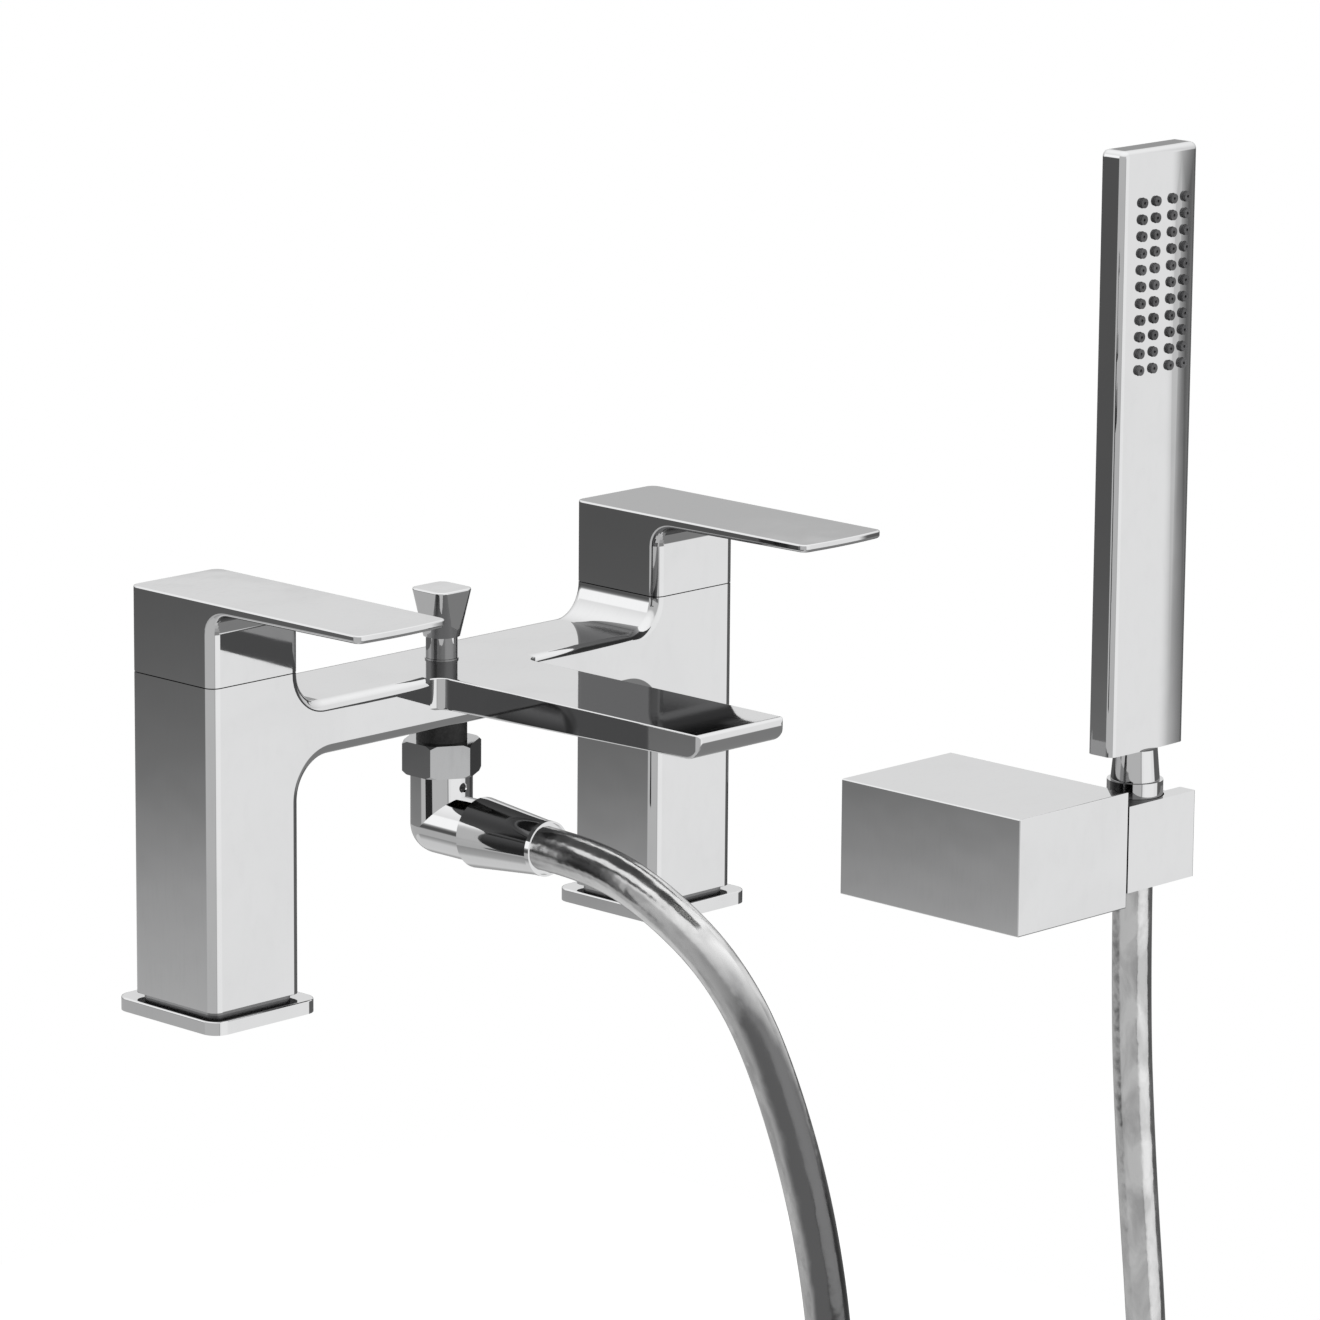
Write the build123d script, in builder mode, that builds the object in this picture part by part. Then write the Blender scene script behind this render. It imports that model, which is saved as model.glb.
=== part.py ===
from build123d import *
import math
import os

# Bath shower mixer: a deck mixer with two quarter-turn levers, a bath spout and a lift-up
# diverter, a hose, and a handset that sits in a tilting wall bracket.
# Millimetres. The origin is midway between the two tap holes on the deck. +X runs along the
# bridge to the right pillar, -Y is the way the spout points, and +Z is up.

os.makedirs("parts", exist_ok=True)

# Shared
overrun = 2.0  # how far a cut runs past the face it opens
fit = 0.05  # gap round a piece that is screwed or pushed home
running = 0.06  # gap round a shaft that turns or slides
play = 0.4  # gap between pieces that must never rub

# Pillars and bridge
tap_spacing = 180.0
pillar_width = 34.1
pillar_depth = 35.2
seam_gap = 0.3
bar_top = 90.4
bar_thickness = 16.2
bar_top_r = 9.6
seam_over_fillet = 0.7  # of the lever block's foot over the fillet on the bar
arch_r = 12.0
casting_edge_r = 3.2

# Base plates and their seals
plate_width = 41.0
plate_depth = 43.6
plate_thickness = 4.06
plate_corner_r = 5.0
plate_edge_r = 0.5
plate_bore_r = 13.6
reveal_height = 1.25
reveal_depth = 1.5
seal_inner_r = 15.6
seal_width = 2.8
seal_height = 2.0

# Spout
spout_width = 35.2
spout_reach = 123.0
spout_root_thickness = 9.7
spout_tip_thickness = 7.3
spout_root_r = 4.0
spout_hold = 7.0  # how far the spout's root runs into the bar
spout_tip_under_r = 5.5
spout_tip_top_r = 1.5
spout_corner_r = 1.5
spout_under_edge_r = 0.7
spout_top_edge_r = 0.4
spout_roof = 1.7  # wall over the waterway
channel_width = 22.0
channel_depth = 5.5  # of the waterway's floor under the spout's top
channel_step = 5.6  # how far behind the bar front the channel is deep
channel_slope = 2.5
outlet_length = 8.0
outlet_width = 20.0
outlet_set_back = 14.0  # centre of the outlet behind the spout's tip
straightener_height = 3.2
straightener_slots = 7
straightener_slot = 1.2
straightener_rim = 1.4

# Waterways
inlet_thread_r = 12.1
inlet_depth = 17.0
riser_r = 11.0
throat_r = 7.5
throat = 6.0  # narrow length under a valve's seat
gallery_r = 4.3
gallery_under_top = 10.8  # middle of the gallery under the bar's top

# Quarter-turn valves
valve_r = 10.4
seat_under_gallery = 17.6
seat_washer_height = 2.0
seat_washer_bore_r = 6.2
housing_bore_r = 8.7
housing_lip_r = 6.6
housing_lip = 1.2
disc_r = 8.6
disc_height = 3.2
disc_port_r = 2.6
disc_port_reach = 4.6
spindle_foot_r = 8.2
spindle_foot = 2.4
spindle_r = 4.0
spindle_groove_r = 3.3
spindle_collar_r = 7.4
spindle_collar = 2.5
spindle_key = 1.0  # how deep the foot sits in the moving disc
window_r = 4.2
o_ring_wire_r = 0.9
o_ring_room_r = 5.6
o_ring_room = 6.0
o_ring_over_gallery = 10.4
housing_head = 5.4
housing_head_flats = 22.0
housing_neck_r = 6.4
housing_neck = 3.0
spindle_over_seam = 18.3

# Levers
lever_block_height = 25.0
lever_reach = 79.1
lever_root_thickness = 3.2
lever_tip_thickness = 2.4
lever_web_r = 6.5
lever_corner_r = 2.4
lever_under_r = 1.0
web_steps = 10
lever_tip_bow = 1.0
lever_edge_r = 0.5
lever_skirt_r = 13.4
lever_skirt_depth = 11.6
grub_r = 2.5
grub_over_seam = 14.7
grub_key = 2.5
grub_key_depth = 2.2
grub_recess = 1.0

# Diverter
knob_stem_r = 4.72
knob_stem = 6.5
knob_height = 21.5  # over the bar
knob_foot_width = 10.4
knob_top_width = 14.2
knob_foot_corner_share = 0.44  # corner radius, of the width there
knob_top_corner_share = 0.21
knob_edge_r = 0.5
gland_r = 5.0
gland_height = 2.4
gland_rim = 0.5
shaft_r = 3.0
shaft_hold = 9.0
shaft_collar_r = 4.0
shaft_collar = 1.5
shaft_head = 1.0
gland_groove_r = 4.3
gland_groove = 1.4
gland_ring_inner_r = 3.3
gland_ring_wire_r = 0.47
cage_r = 7.6
cage_wall = 1.0
cage_reach = 13.8  # under the bar
cage_over_gallery = 5.0
seat_step = 8.4  # lower seat under the middle of the gallery
seat_thickness = 1.4
seat_bore_r = 4.8
upper_seat_bore_r = 4.9
upper_seat_thickness = 1.4
upper_room_r = 6.6
valve_disc_r = 6.2
valve_disc = 1.8
valve_washer_r = 5.9
valve_washer = 0.8

# Shower outlet
nut_flats = 21.0
nut_height = 10.0
nut_drop = 4.4  # under the cage
nut_chamfer = 0.9
elbow_r = 9.3
elbow_bore_r = 4.4
arm_height = 40.4
arm_reach = 17.0
neck_gap = 0.2  # between the elbow and the nuts that turn on it
spigot_r = 6.4
collar_r = 7.3
collar_height = 1.6
union_washer = 1.5
elbow_grub_r = 1.5
elbow_grub_height = 52.5
elbow_grub_length = 2.6
elbow_grub_recess = 0.6
elbow_grub_key = 1.5
thread_r = 6.6
thread_length = 8.0
check_valve_r = 4.95
check_valve_length = 10.0
check_valve_bore_r = 2.6

# Hose and its nuts
hose_r = 6.5
hose_bore_r = 4.2
cone_start_r = 10.65
cone_end_r = 8.15
cone_reach = 45.0
cone_lip = 1.6
cone_lip_r = 8.3
mouth_r = 7.7  # open ring round the hose in the nut's end
mouth_depth = 1.4
hose_hold = 3.0  # how far the hose runs into the lower nut
washer_height = 1.5
washer_r = 6.4
ferrule_r = 6.4
ferrule_flange_r = 6.9
ferrule_flange = 1.6
ferrule_bore_r = 3.2
chamber_r = 7.2  # room in both nuts for flange and washer
upper_ferrule_sleeve = 5.0
arc_share = 0.45  # of the shorter run beside a bend

# Bracket
front_reach = 11.0  # bracket's front, from the handset's axis
bracket_left = 216.0
bracket_width = 53.0
bracket_depth = 77.0
bracket_height = 38.6
bracket_middle = -8.5
bracket_wall = 2.0
bracket_edge_r = 0.4
notch_width = 7.8
notch_depth = 8.4
notch_front = 1.0
wall_plate_gap = 0.4
wall_plate_thickness = 3.0
wall_hole_spacing = 26.0
wall_hole_r = 2.3
bracket_grub_r = 2.0
bracket_grub_length = 5.0
bracket_grub_key = 2.0
bracket_grub_back = 6.0  # in front of the wall
tongue_width = 12.0
tongue_reach = 10.0
tongue_thickness = 3.0

# Handset holder, which tilts in the bracket
holder_gap = 0.4
holder_width = 33.0
holder_height = 28.9
holder_plate = 6.5
holder_web = 7.6
socket_wall = 1.3
handset_axis_x = 284.9
handset_axis_y = -29.0
pivot_r = 5.0
pivot_end = 0.5  # how far the pivot shows past its nut
pivot_nut_flats = 13.0
pivot_nut_height = 4.5
friction_washer = 1.0

# Upper hose nut, the handset's foot
rim_r = 9.2
rim_height = 6.4
rim_base = 4.6
upper_cone_end_r = 8.2
upper_cone_end = -20.5
socket_gap = 0.35
upper_hose_end = -5.0
upper_nut_bore_r = 6.9
foot_top_r = 7.1
foot_end_r = 8.05
shank_r = 3.6
shank_bore_r = 2.2
shank_length = 9.0
shank_groove_r = 2.9
foot_ring_wire_r = 0.33

# Handset
handset_width = 36.4
handset_thickness = 11.0
handset_base = 21.4
handset_length = 197.0
handset_edge_r = 2.4
handset_top_r = 2.2
handset_crown = 0.5
handset_wall = 1.6
handset_solid = 9.4  # full of metal this far up
nozzle_rows = 11
nozzle_pitch = 5.4
nozzle_top_drop = 17.0
nozzle_inner_spacing = 8.1
nozzle_outer_spacing = 6.55
nozzle_offset = 1.2
nozzle_r = 1.6
nozzle_gap = 0.15
nozzle_proud = 0.9
nozzle_bore_r = 0.5
nozzle_mat_thickness = 1.2
nozzle_mat_margin = 3.6
tube_r = 3.2
tube_bore_r = 2.5

half_spacing = tap_spacing / 2
half_depth = pillar_depth / 2
inner_x = half_spacing - pillar_width / 2
outer_x = half_spacing + pillar_width / 2
seam_height = bar_top + bar_top_r + seam_over_fillet  # where the lever block meets the pillar
pillar_top = seam_height - seam_gap
lever_top = seam_height + lever_block_height
grub_height = seam_height + grub_over_seam
spindle_top = seam_height + spindle_over_seam
pillar_foot = plate_thickness + reveal_height
bar_bottom = bar_top - bar_thickness
roof = bar_top - spout_roof
spout_root_bottom = bar_top - spout_root_thickness
spout_tip_bottom = bar_top - spout_tip_thickness
channel_floor = bar_top - channel_depth
gallery_height = bar_top - gallery_under_top
valve_seat = gallery_height - seat_under_gallery
o_ring_room_base = gallery_height + o_ring_over_gallery
cage_foot = bar_bottom - cage_reach
cage_top = gallery_height + cage_over_gallery
cage_height = cage_top - cage_foot
lower_seat = gallery_height - seat_step
nut_base = cage_foot - nut_drop
knob_top = bar_top + knob_height
bracket_front = handset_axis_y - front_reach
wall_face = bracket_front + bracket_depth
upper_room = cage_top + upper_seat_thickness
housing_base = valve_seat + seat_washer_height
disc_base = housing_base + housing_lip
spindle_base = disc_base + 2 * disc_height - spindle_key
spindle_bar = 2 * (disc_port_reach - disc_port_r)
o_ring_middle = o_ring_room_base + o_ring_room / 2
foot_ring_height = handset_base + shank_length / 2
stand = (Align.CENTER, Align.CENTER, Align.MIN)


def save(piece, name):
    """Label a finished piece and write it."""
    piece.part.label = name
    export_step(piece.part, f"parts/{name}.step")


def along_y(x, y, z):
    """A plane square to Y at that place, facing the front, with its own y upward."""
    return Plane(origin=(x, y, z), x_dir=(1, 0, 0), z_dir=(0, -1, 0))


def ring(at, outer_r, inner_r, height):
    """A plain ring that stands on a plane."""
    with BuildPart() as piece:
        with BuildSketch(at):
            Circle(outer_r)
            Circle(inner_r, mode=Mode.SUBTRACT)
        extrude(amount=height)
    return piece


def o_ring(at, inner_r, wire_r):
    """A ring of round rubber, centred on a plane's origin."""
    with BuildPart(at) as piece:
        Torus(inner_r + wire_r, wire_r)
    return piece


def grub_screw(at, radius, length, key):
    """A headless screw that runs along a plane's normal, with its hexagon socket at the far end."""
    with BuildPart() as piece:
        with BuildSketch(at):
            Circle(radius)
        extrude(amount=length)
        with BuildSketch(at.offset(length)):
            RegularPolygon(key / 2, 6, major_radius=False)
        extrude(amount=-min(grub_key_depth, length / 2), mode=Mode.SUBTRACT)
    return piece


# Spout: its plan, flared where it leaves the bar, cut to its side view
root_x = spout_width / 2 + spout_root_r
with BuildPart() as spout_form:
    with BuildSketch(Plane.XY.offset(bar_bottom)):
        with BuildLine():
            inside = Line((0, spout_hold - half_depth), (root_x, spout_hold - half_depth))
            face = Line(inside @ 1, (root_x, -half_depth))
            flare = TangentArc(
                face @ 1, (spout_width / 2, -half_depth - spout_root_r), tangent=(-1, 0)
            )
            side = Line(flare @ 1, (spout_width / 2, spout_corner_r - spout_reach))
            corner = TangentArc(
                side @ 1, (spout_width / 2 - spout_corner_r, -spout_reach), tangent=(0, -1)
            )
            Line(corner @ 1, (0, -spout_reach))
            mirror(about=Plane.YZ)
        make_face()
    extrude(amount=bar_thickness)
    with BuildSketch(Plane.YZ.offset(-root_x)) as spout_side:
        with BuildLine():
            Polyline(
                (spout_hold - half_depth, bar_top),
                (-spout_reach, bar_top),
                (-spout_reach, spout_tip_bottom),
                (-half_depth, spout_root_bottom),
                (spout_hold - half_depth, spout_root_bottom),
                close=True,
            )
        make_face()
        tip = spout_side.vertices().group_by(Axis.X)[0].sort_by(Axis.Y)
        fillet(tip[0], spout_tip_under_r)
        tip = spout_side.vertices().group_by(Axis.X)[0].sort_by(Axis.Y)
        fillet(tip[-1], spout_tip_top_r)
    extrude(amount=2 * root_x, mode=Mode.INTERSECT)
    side_edges = [e for e in spout_form.edges() if math.isclose(abs(e.center().X), spout_width / 2)]
    fillet([e for e in side_edges if math.isclose(e.center().Z, bar_top)], spout_top_edge_r)
    side_edges = [e for e in spout_form.edges() if math.isclose(abs(e.center().X), spout_width / 2)]
    under = [e for e in side_edges if e.geom_type == GeomType.LINE and e.length > spout_reach / 2]
    fillet([e for e in under if e.center().Z < channel_floor], spout_under_edge_r)

# Pillars, bridge and spout as they look when joined, with the waterways inside
with BuildPart() as mixer_form:
    with BuildSketch(Plane.XZ.offset(-half_depth)) as bridge:
        with BuildLine():
            Polyline(
                (0, bar_top),
                (inner_x, bar_top),
                (inner_x, pillar_top),
                (outer_x, pillar_top),
                (outer_x, pillar_foot),
                (inner_x, pillar_foot),
                (inner_x, bar_bottom),
                (0, bar_bottom),
            )
            mirror(about=Plane.YZ)
        make_face()
        inner = [v for v in bridge.vertices() if math.isclose(abs(v.X), inner_x)]
        fillet([v for v in inner if math.isclose(v.Y, bar_top)], bar_top_r)
        inner = [v for v in bridge.vertices() if math.isclose(abs(v.X), inner_x)]
        fillet([v for v in inner if math.isclose(v.Y, bar_bottom)], arch_r)
    extrude(amount=pillar_depth)
    rims = [
        e
        for e in mixer_form.edges()
        if math.isclose(abs(e.center().Y), half_depth)
        and not math.isclose(e.center().Z, pillar_top)
        and not math.isclose(e.center().Z, pillar_foot)
    ]
    fillet(rims, casting_edge_r)
    with BuildSketch(Plane.XY.offset(plate_thickness)):
        with Locations((-half_spacing, 0), (half_spacing, 0)):
            RectangleRounded(
                pillar_width - 2 * reveal_depth, pillar_depth - 2 * reveal_depth, casting_edge_r
            )
    extrude(amount=reveal_height)
    add(spout_form.part)
    # inlets, risers and valve seats
    for x in (-half_spacing, half_spacing):
        with Locations((x, 0, plate_thickness)):
            Cylinder(inlet_thread_r, inlet_depth, align=stand, mode=Mode.SUBTRACT)
            Cylinder(
                riser_r, valve_seat - throat - plate_thickness, align=stand, mode=Mode.SUBTRACT
            )
            Cylinder(throat_r, pillar_top - plate_thickness, align=stand, mode=Mode.SUBTRACT)
        with Locations((x, 0, valve_seat)):
            Cylinder(valve_r + fit, pillar_top - valve_seat, align=stand, mode=Mode.SUBTRACT)
    # gallery along the bridge
    with BuildSketch(Plane.YZ.offset(-half_spacing)):
        with Locations((0, gallery_height)):
            Circle(gallery_r)
    extrude(amount=tap_spacing, mode=Mode.SUBTRACT)
    # diverter chamber, its upper seat, the room over it and the gland's hole
    with Locations((0, 0, bar_bottom)):
        Cylinder(cage_r + fit, cage_top - bar_bottom, align=stand, mode=Mode.SUBTRACT)
    with Locations((0, 0, cage_top)):
        Cylinder(upper_seat_bore_r, roof - cage_top, align=stand, mode=Mode.SUBTRACT)
    with Locations((0, 0, upper_room)):
        Cylinder(upper_room_r, roof - upper_room, align=stand, mode=Mode.SUBTRACT)
    with Locations((0, 0, upper_room)):
        Cylinder(gland_r + fit, bar_top - upper_room, align=stand, mode=Mode.SUBTRACT)
    # waterway to the spout's mouth
    outlet_y = outlet_set_back - spout_reach
    with BuildSketch(Plane.YZ.offset(-channel_width / 2)):
        with BuildLine():
            Polyline(
                (0, upper_room),
                (channel_step + channel_slope - half_depth, upper_room),
                (channel_step - half_depth, channel_floor),
                (outlet_y - outlet_length / 2, channel_floor),
                (outlet_y - outlet_length / 2, roof),
                (0, roof),
                close=True,
            )
        make_face()
    extrude(amount=channel_width, mode=Mode.SUBTRACT)
    with BuildSketch(Plane.XY.offset(bar_bottom)):
        with Locations((0, outlet_y)):
            Rectangle(outlet_width, outlet_length)
    extrude(amount=roof - bar_bottom, mode=Mode.SUBTRACT)


def slice_of_form(left, right):
    """What lies between two upright planes square to the bridge."""
    with BuildPart() as piece:
        add(mixer_form.part)
        with Locations(((left + right) / 2, 0, 0)):
            Box(right - left, 2 * (spout_reach + overrun), 2 * lever_top, mode=Mode.INTERSECT)
    return piece


# The pillars are brazed to the bridge's ends and polished flush, so no seam shows
braze_x = inner_x - arch_r
save(slice_of_form(-outer_x - overrun, -braze_x), "pillar_left")
save(slice_of_form(-braze_x, braze_x), "mixer_bridge")
save(slice_of_form(braze_x, outer_x + overrun), "pillar_right")


def base_plate(x):
    """A square plate under a pillar, with a groove for its seal in the underside."""
    with BuildPart() as piece:
        with BuildSketch():
            with Locations((x, 0)):
                RectangleRounded(plate_width, plate_depth, plate_corner_r)
        extrude(amount=plate_thickness)
        fillet(piece.faces().sort_by(Axis.Z)[-1].edges(), plate_edge_r)
        with Locations((x, 0, 0)):
            Cylinder(plate_bore_r, plate_thickness, align=stand, mode=Mode.SUBTRACT)
        with BuildSketch():
            with Locations((x, 0)):
                Circle(seal_inner_r + seal_width + fit)
                Circle(seal_inner_r - fit, mode=Mode.SUBTRACT)
        extrude(amount=seal_height, mode=Mode.SUBTRACT)
    return piece


def valve_housing(x):
    """The brass body of a quarter-turn valve: windowed sleeve, hexagon head and neck."""
    with BuildPart() as piece:
        with Locations((x, 0, housing_base)):
            Cylinder(valve_r, pillar_top - housing_base, align=stand)
        with BuildSketch(Plane.XY.offset(pillar_top)):
            with Locations((x, 0)):
                RegularPolygon(housing_head_flats / 2, 6, major_radius=False)
        extrude(amount=housing_head)
        with Locations((x, 0, pillar_top + housing_head)):
            Cylinder(housing_neck_r, housing_neck, align=stand)
        with Locations((x, 0, housing_base)):
            Cylinder(housing_lip_r, housing_lip, align=stand, mode=Mode.SUBTRACT)
        with Locations((x, 0, disc_base)):
            Cylinder(housing_bore_r, o_ring_room_base - disc_base, align=stand, mode=Mode.SUBTRACT)
        with Locations((x, 0, o_ring_room_base)):
            Cylinder(o_ring_room_r, o_ring_room, align=stand, mode=Mode.SUBTRACT)
            Cylinder(
                spindle_r + running, lever_top - o_ring_room_base, align=stand, mode=Mode.SUBTRACT
            )
        for turn in (Rotation(0, 90, 0), Rotation(90, 0, 0)):
            with Locations(Location((x, 0, gallery_height)) * turn):
                Cylinder(window_r, 2 * (valve_r + overrun), mode=Mode.SUBTRACT)
    return piece


def ceramic_disc(x, base, radius, turned):
    """A ceramic disc with two round ports, side by side along X when turned, else along Y."""
    reach = (disc_port_reach, 0) if turned else (0, disc_port_reach)
    with BuildPart() as piece:
        with BuildSketch(Plane.XY.offset(base)):
            with Locations((x, 0)):
                Circle(radius)
            with Locations((x + reach[0], reach[1]), (x - reach[0], -reach[1])):
                Circle(disc_port_r, mode=Mode.SUBTRACT)
        extrude(amount=disc_height)
        if turned:
            with BuildSketch(Plane.XY.offset(base + disc_height)):
                with Locations((x, 0)):
                    Rectangle(spindle_bar + 2 * fit, 2 * radius)
            extrude(amount=-spindle_key, mode=Mode.SUBTRACT)
    return piece


def valve_spindle(x):
    """A stem with a bar foot that turns the moving disc, a collar and an O-ring groove."""
    with BuildPart() as piece:
        with BuildSketch(Plane.XY.offset(spindle_base)):
            with Locations((x, 0)):
                Circle(spindle_foot_r)
                Rectangle(spindle_bar, 2 * spindle_foot_r, mode=Mode.INTERSECT)
        extrude(amount=spindle_foot + spindle_key)
        with Locations((x, 0, spindle_base + spindle_key)):
            Cylinder(spindle_r, spindle_top - spindle_base - spindle_key, align=stand)
        with Locations((x, 0, o_ring_room_base - play - spindle_collar)):
            Cylinder(spindle_collar_r, spindle_collar, align=stand)
        with BuildSketch(Plane.XY.offset(o_ring_middle - o_ring_wire_r - running)):
            with Locations((x, 0)):
                Circle(spindle_r)
                Circle(spindle_groove_r, mode=Mode.SUBTRACT)
        extrude(amount=2 * (o_ring_wire_r + running), mode=Mode.SUBTRACT)
    return piece


def corner_section(radius):
    """What a round corner leaves of a square one; x and y point out of its two faces."""
    with BuildSketch() as section:
        with BuildLine():
            bend = CenterArc((-radius, -radius), radius, 0, 90)
            Polyline(bend @ 1, (-radius, overrun), (overrun, overrun), (overrun, -radius), bend @ 0)
        make_face()
    return section.sketch


def web_corners(x):
    """Cutters that round a lever block's front corners, thinning round the web to the paddle."""
    slope = math.atan2(lever_root_thickness - lever_tip_thickness, lever_reach - half_depth)
    whole_turn = math.pi / 2 - slope
    web_z = lever_top - lever_root_thickness - lever_web_r * math.tan(whole_turn / 2)
    web_y = -half_depth - lever_web_r
    with BuildPart() as cutters:
        for hand in (-1, 1):
            edge_x = x + hand * pillar_width / 2
            sideways = Vector(hand, 0, 0)
            forward = Vector(0, -1, 0)
            foot = Plane((edge_x, -half_depth, web_z), x_dir=sideways, z_dir=sideways.cross(forward))
            with BuildSketch(foot):
                add(corner_section(casting_edge_r))
            extrude(amount=hand * (web_z - seam_height + overrun))
            for step in range(web_steps + 1):
                share = step / web_steps
                turn = whole_turn * share
                ease_share = share * share * (3 - 2 * share)
                radius = casting_edge_r + (lever_under_r - casting_edge_r) * ease_share
                y = web_y + lever_web_r * math.cos(turn)
                z = web_z + lever_web_r * math.sin(turn)
                outward = Vector(0, -math.cos(turn), -math.sin(turn))
                at = Plane((edge_x, y, z), x_dir=sideways, z_dir=sideways.cross(outward))
                with BuildSketch(at):
                    add(corner_section(radius))
            loft(ruled=True)
    return cutters.part


def lever(x):
    """A flat paddle that runs forward from its square block, hollow under the block."""
    half_width = pillar_width / 2
    with BuildPart() as piece:
        with BuildSketch(Plane.YZ.offset(x - half_width)) as side_view:
            with BuildLine():
                Polyline(
                    (half_depth, seam_height),
                    (half_depth, lever_top),
                    (-lever_reach, lever_top),
                    (-lever_reach, lever_top - lever_tip_thickness),
                    (-half_depth, lever_top - lever_root_thickness),
                    (-half_depth, seam_height),
                    close=True,
                )
            make_face()
            web = [v for v in side_view.vertices() if math.isclose(v.X, -half_depth)]
            fillet([v for v in web if v.Y > grub_height], lever_web_r)
        extrude(amount=pillar_width)
        with BuildSketch(Plane.XY.offset(seam_height)) as plan:
            with BuildLine():
                tip = ThreePointArc(
                    (x - half_width, lever_tip_bow - lever_reach),
                    (x, -lever_reach),
                    (x + half_width, lever_tip_bow - lever_reach),
                )
                Polyline(tip @ 1, (x + half_width, half_depth), (x - half_width, half_depth), tip @ 0)
            make_face()
            fillet(plan.vertices().group_by(Axis.Y)[-1], casting_edge_r)
            fillet(plan.vertices().group_by(Axis.Y)[0], lever_corner_r)
        extrude(amount=lever_top - seam_height, mode=Mode.INTERSECT)
        across = piece.edges().filter_by(Axis.X)
        upright = piece.edges().filter_by(Axis.Z)
        low = seam_height + lever_edge_r
        high = lever_top - lever_edge_r
        under = [e for e in piece.edges() - across - upright if low < e.center().Z < high]
        under += [e for e in upright if math.isclose(e.center().Y, -half_depth)]
        fillet(under, lever_under_r)
        add(web_corners(x), mode=Mode.SUBTRACT)
        fillet(piece.faces().sort_by(Axis.Z)[-1].edges(), lever_edge_r)
        # room for the valve's head, the spindle's bore and the grub screw's hole
        with Locations((x, 0, seam_height)):
            Cylinder(lever_skirt_r, lever_skirt_depth, align=stand, mode=Mode.SUBTRACT)
            Cylinder(
                spindle_r + fit, spindle_top + play - seam_height, align=stand, mode=Mode.SUBTRACT
            )
        with BuildSketch(Plane(origin=(x, half_depth, grub_height), z_dir=(0, 1, 0))):
            Circle(grub_r + fit)
        extrude(amount=-half_depth, mode=Mode.SUBTRACT)
    return piece


for side, x in (("left", -half_spacing), ("right", half_spacing)):
    save(base_plate(x), f"base_plate_{side}")
    under_plate = Plane(origin=(x, 0, 0))
    save(ring(under_plate, seal_inner_r + seal_width, seal_inner_r, seal_height), f"base_seal_{side}")
    on_seat = Plane(origin=(x, 0, valve_seat))
    save(ring(on_seat, valve_r, seat_washer_bore_r, seat_washer_height), f"seat_washer_{side}")
    save(valve_housing(x), f"valve_housing_{side}")
    save(ceramic_disc(x, disc_base, disc_r, False), f"fixed_disc_{side}")
    moving_disc_r = housing_bore_r - play
    save(ceramic_disc(x, disc_base + disc_height, moving_disc_r, True), f"moving_disc_{side}")
    save(valve_spindle(x), f"valve_spindle_{side}")
    in_groove = Plane(origin=(x, 0, o_ring_middle))
    save(o_ring(in_groove, spindle_groove_r + fit, o_ring_wire_r), f"spindle_o_ring_{side}")
    save(lever(x), f"lever_{side}")
    beside_spindle = Plane(origin=(x, spindle_r + fit, grub_height), z_dir=(0, 1, 0))
    grub_length = half_depth - grub_recess - spindle_r - fit
    save(grub_screw(beside_spindle, grub_r, grub_length, grub_key), f"lever_grub_screw_{side}")

# Diverter: a knob on a shaft that lifts a double-sided valve from the lower to the upper seat
knob_base = bar_top + gland_rim + fit
with BuildPart() as diverter_knob:
    with Locations((0, 0, knob_base)):
        Cylinder(knob_stem_r, bar_top + gland_rim + knob_stem - knob_base, align=stand)
    flare_base = bar_top + gland_rim + knob_stem
    with BuildSketch(Plane.XY.offset(flare_base)):
        RectangleRounded(
            knob_foot_width, knob_foot_width, knob_foot_corner_share * knob_foot_width
        )
    with BuildSketch(Plane.XY.offset(knob_top)):
        RectangleRounded(knob_top_width, knob_top_width, knob_top_corner_share * knob_top_width)
    loft()
    fillet(diverter_knob.faces().sort_by(Axis.Z)[-1].edges(), knob_edge_r)
    with Locations((0, 0, knob_base)):
        Cylinder(shaft_r + fit, shaft_hold + play, align=stand, mode=Mode.SUBTRACT)
save(diverter_knob, "diverter_knob")

stack_base = lower_seat + seat_thickness
stack_top = stack_base + 2 * valve_washer + valve_disc
with BuildPart() as diverter_shaft:
    with Locations((0, 0, stack_base - shaft_head)):
        Cylinder(shaft_collar_r, shaft_head, align=stand)
        Cylinder(shaft_r, knob_base + shaft_hold - stack_base + shaft_head, align=stand)
    with Locations((0, 0, stack_top)):
        Cylinder(shaft_collar_r, shaft_collar, align=stand)
save(diverter_shaft, "diverter_shaft")

on_lower_washer = Plane.XY.offset(stack_base + valve_washer)
save(ring(on_lower_washer, valve_disc_r, shaft_r + fit, valve_disc), "diverter_valve")

with BuildPart() as diverter_washers:
    for base in (stack_base, stack_top - valve_washer):
        with BuildSketch(Plane.XY.offset(base)):
            Circle(valve_washer_r)
            Circle(shaft_r + fit, mode=Mode.SUBTRACT)
        extrude(amount=valve_washer)
save(diverter_washers, "diverter_washers")

gland_base = bar_top + gland_rim - gland_height
with BuildPart() as diverter_gland:
    with BuildSketch(Plane.XY.offset(gland_base)):
        Circle(gland_r)
        Circle(shaft_r + running, mode=Mode.SUBTRACT)
    extrude(amount=gland_height)
    with Locations((0, 0, gland_base + gland_height / 2)):
        Cylinder(gland_groove_r, gland_groove, mode=Mode.SUBTRACT)
save(diverter_gland, "diverter_gland")
gland_middle = Plane.XY.offset(gland_base + gland_height / 2)
save(o_ring(gland_middle, gland_ring_inner_r, gland_ring_wire_r), "gland_o_ring")

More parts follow.
